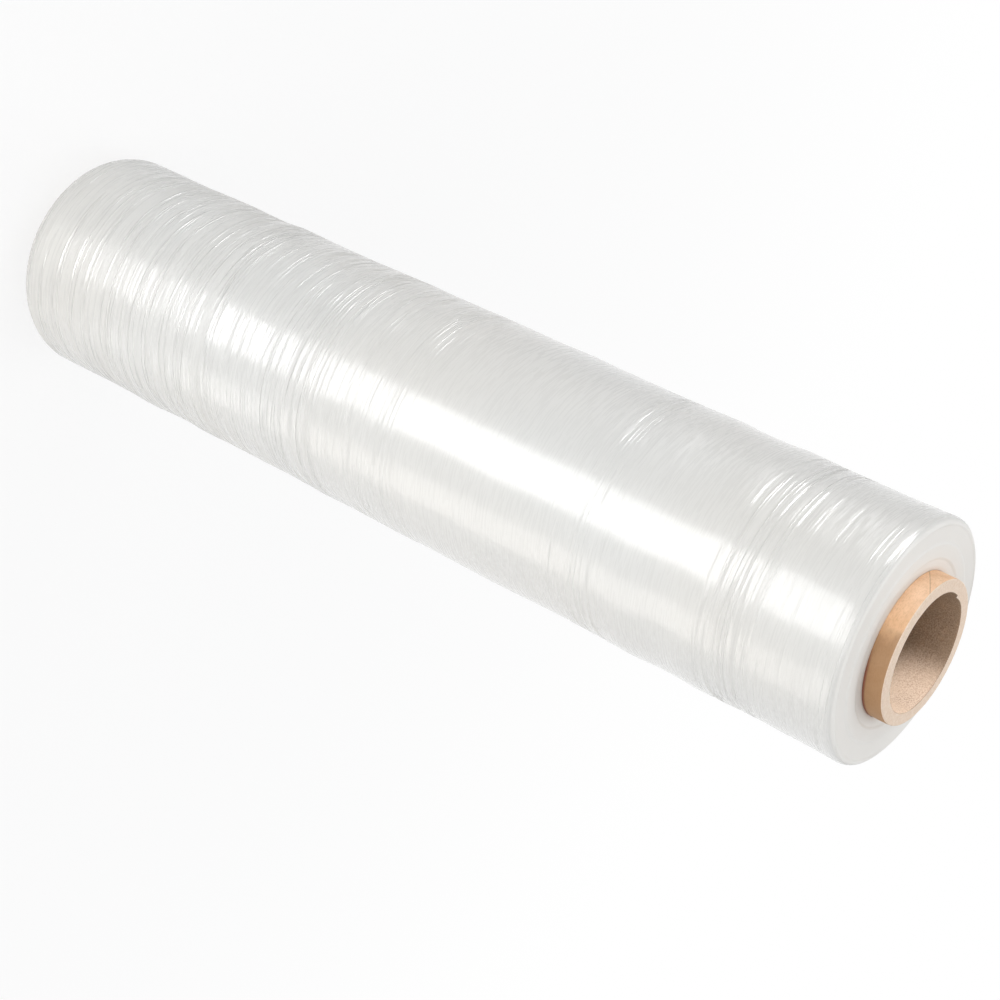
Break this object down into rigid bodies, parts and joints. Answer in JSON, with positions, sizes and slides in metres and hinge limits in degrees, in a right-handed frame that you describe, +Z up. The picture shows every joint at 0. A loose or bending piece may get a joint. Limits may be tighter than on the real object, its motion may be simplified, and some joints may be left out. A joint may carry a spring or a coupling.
{
  "type": "stretch wrap roll",
  "caption": "Hand roll of clear stretch film, wound tight on a paperboard tube that stands out past the film at both ends, stood on one end.",
  "frame": {"origin": "centre of the tube's lower rim, in the plane that the roll stands on", "axes": "+Z up along the roll's axis, from the softly rounded end of the film to the squarer one; +X and +Y across it"},
  "size_m": [0.1046, 0.1046, 0.474],
  "materials": {
    "paperboard": "matte kraft paper outside, grey-brown chipboard inside, pale cut rims",
    "stretch_film": "glossy, cloudy white where many clear turns lie on each other"
  },
  "bodies": {
    "root": {"paper_core": "paperboard", "wound_film": "stretch_film"}
  },
  "joints": []
}
